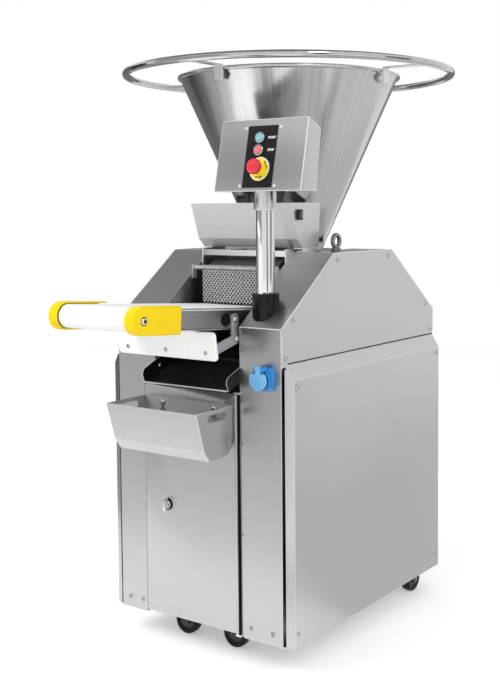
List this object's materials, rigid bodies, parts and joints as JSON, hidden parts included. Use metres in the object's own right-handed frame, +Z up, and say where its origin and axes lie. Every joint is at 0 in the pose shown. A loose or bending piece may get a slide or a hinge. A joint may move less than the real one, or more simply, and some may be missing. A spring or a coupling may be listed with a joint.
{
  "type": "dough divider",
  "caption": "Sheet-steel dough divider on casters with a conical hopper, guard ring, control box on a column, flour duster, tilted outfeed belt, scraper, chute, door and hanging catch tray.",
  "frame": {"origin": "on the floor, under the middle of the machine's overall box", "axes": "+X to the machine's right seen from its front, -Y to the front where the belt leaves, +Z up"},
  "size_m": [0.9539, 1.286, 1.57],
  "materials": {
    "stainless": "brushed stainless sheet",
    "polished": "polished stainless",
    "bright_steel": "bright turned steel",
    "cast": "machined casting",
    "motor_paint": "grey enamel",
    "dark_sheet": "black coated sheet",
    "white_belt": "smooth white belting",
    "yellow": "smooth moulding",
    "red": "smooth moulding",
    "teal": "lens",
    "pink": "lens",
    "blue": "smooth moulding",
    "black_plastic": "fine grain",
    "black_rubber": "matt",
    "wheel": "matt"
  },
  "bodies": {
    "cabinet": {"base_frame": "stainless", "right_fascia": "stainless", "left_fascia": "stainless", "right_cheek": "stainless", "left_cheek": "stainless", "right_upper_panel": "stainless", "left_upper_panel": "stainless", "right_lower_cover": "stainless", "left_lower_cover": "stainless", "rear_panel": "stainless", "centre_cover": "stainless", "hopper": "polished", "guard_ring": "polished", "ring_arms": "polished", "lifting_eyes": "bright_steel", "conveyor_frame": "stainless", "conveyor_belt": "white_belt", "conveyor_caps": "yellow", "scraper_plate": "white_belt", "scraper_arms": "stainless", "chute": "dark_sheet", "hinge_pins": "bright_steel", "control_column": "polished", "column_boot": "black_rubber", "control_box": "stainless", "control_box_lid": "stainless", "button_plate": "black_plastic", "button_bezels": "bright_steel", "estop_base": "yellow", "cable_glands": "black_plastic", "duster_hopper": "stainless", "duster_drive_box": "stainless", "duster_brackets": "stainless", "mat_bar": "bright_steel", "dividing_head": "cast", "gear_motor": "motor_paint", "caster_mounts": "bright_steel", "socket_base": "blue", "panel_screws": "bright_steel"},
    "door": {"door": "stainless"},
    "door_latch": {"door_latch": "bright_steel"},
    "catch_tray": {"catch_tray": "stainless"},
    "nose_roller": {"nose_roller": "bright_steel"},
    "drive_roller": {"drive_roller": "bright_steel"},
    "start_button": {"start_button": "teal"},
    "stop_button": {"stop_button": "pink"},
    "estop_button": {"estop_button": "red"},
    "duster_roller": {"duster_roller": "bright_steel"},
    "duster_rocker": {"duster_rocker": "black_plastic"},
    "mesh_mat": {"mesh_mat": "bright_steel"},
    "dividing_drum": {"dividing_drum": "cast"},
    "measuring_pistons": {"measuring_pistons": "bright_steel"},
    "main_ram": {"main_ram": "cast"},
    "front_left_fork": {"front_left_fork": "bright_steel"},
    "front_left_wheel": {"front_left_wheel": "wheel"},
    "front_right_fork": {"front_right_fork": "bright_steel"},
    "front_right_wheel": {"front_right_wheel": "wheel"},
    "rear_left_wheel": {"rear_left_wheel": "wheel"},
    "rear_right_wheel": {"rear_right_wheel": "wheel"},
    "socket_lid": {"socket_lid": "blue"}
  },
  "joints": [
    {"name": "door_hinge", "type": "hinge", "parent": "cabinet", "child": "door", "pos_m": [0.134, -0.264, 0.4], "axis": [0, 0, 1], "range_deg": [0, 85]},
    {"name": "latch_turn", "type": "hinge", "parent": "door", "child": "door_latch", "pos_m": [-0.103, -0.266, 0.386], "axis": [0, -1, 0], "range_deg": [0, 90]},
    {"name": "tray_lift", "type": "slide", "parent": "door", "child": "catch_tray", "axis": [0, 0, 1], "range_m": [0, 0.022]},
    {"name": "socket_flap", "type": "hinge", "parent": "cabinet", "child": "socket_lid", "pos_m": [0.225, -0.295, 0.7845], "axis": [-1, 0, 0], "range_deg": [0, 100], "stiffness_Nm_per_rad": 0.02},
    {"name": "start_press", "type": "slide", "parent": "cabinet", "child": "start_button", "axis": [0, 0.9769, -0.2135], "range_m": [0, 0.003], "stiffness_N_per_m": 800},
    {"name": "stop_press", "type": "slide", "parent": "cabinet", "child": "stop_button", "axis": [0, 0.9769, -0.2135], "range_m": [0, 0.003], "stiffness_N_per_m": 800},
    {"name": "estop_press", "type": "slide", "parent": "cabinet", "child": "estop_button", "axis": [0, 0.9769, -0.2135], "range_m": [0, 0.0035], "stiffness_N_per_m": 1500},
    {"name": "duster_spin", "type": "hinge", "parent": "cabinet", "child": "duster_roller", "pos_m": [0, 0.012, 1.093], "axis": [1, 0, 0], "continuous": true},
    {"name": "duster_switch", "type": "hinge", "parent": "cabinet", "child": "duster_rocker", "pos_m": [0.18, -0.04, 1.162], "axis": [0, 1, 0], "range_deg": [-10, 10]},
    {"name": "belt_drive", "type": "hinge", "parent": "cabinet", "child": "drive_roller", "pos_m": [0, -0.101, 0.8877], "axis": [1, 0, 0], "continuous": true},
    {"name": "belt_nose", "type": "hinge", "parent": "cabinet", "child": "nose_roller", "pos_m": [0, -0.609, 0.925], "axis": [1, 0, 0], "continuous": true},
    {"name": "mat_swing", "type": "hinge", "parent": "cabinet", "child": "mesh_mat", "pos_m": [0, -0.098, 1.016], "axis": [-1, 0, 0], "range_deg": [0, 60]},
    {"name": "drum_turn", "type": "hinge", "parent": "cabinet", "child": "dividing_drum", "pos_m": [0, -0.001, 0.96], "axis": [-1, 0, 0], "range_deg": [0, 90]},
    {"name": "piston_draw", "type": "slide", "parent": "dividing_drum", "child": "measuring_pistons", "axis": [0, -1, 0], "range_m": [0, 0.025]},
    {"name": "ram_push", "type": "slide", "parent": "cabinet", "child": "main_ram", "axis": [0, -1, 0], "range_m": [0, 0.05]},
    {"name": "front_left_swivel", "type": "hinge", "parent": "cabinet", "child": "front_left_fork", "pos_m": [-0.085, -0.176, 0.097], "axis": [0, 0, 1], "continuous": true},
    {"name": "front_right_swivel", "type": "hinge", "parent": "cabinet", "child": "front_right_fork", "pos_m": [0.085, -0.176, 0.097], "axis": [0, 0, 1], "continuous": true},
    {"name": "front_left_roll", "type": "hinge", "parent": "front_left_fork", "child": "front_left_wheel", "pos_m": [-0.111, -0.176, 0.0375], "axis": [0, 1, 0], "continuous": true},
    {"name": "front_right_roll", "type": "hinge", "parent": "front_right_fork", "child": "front_right_wheel", "pos_m": [0.059, -0.176, 0.0375], "axis": [0, 1, 0], "continuous": true},
    {"name": "rear_left_roll", "type": "hinge", "parent": "cabinet", "child": "rear_left_wheel", "pos_m": [-0.243, 0.454, 0.0375], "axis": [1, 0, 0], "continuous": true},
    {"name": "rear_right_roll", "type": "hinge", "parent": "cabinet", "child": "rear_right_wheel", "pos_m": [0.243, 0.454, 0.0375], "axis": [1, 0, 0], "continuous": true}
  ],
  "couplings": [
    {"joint": "belt_nose", "follows": "belt_drive", "ratio": 1}
  ]
}
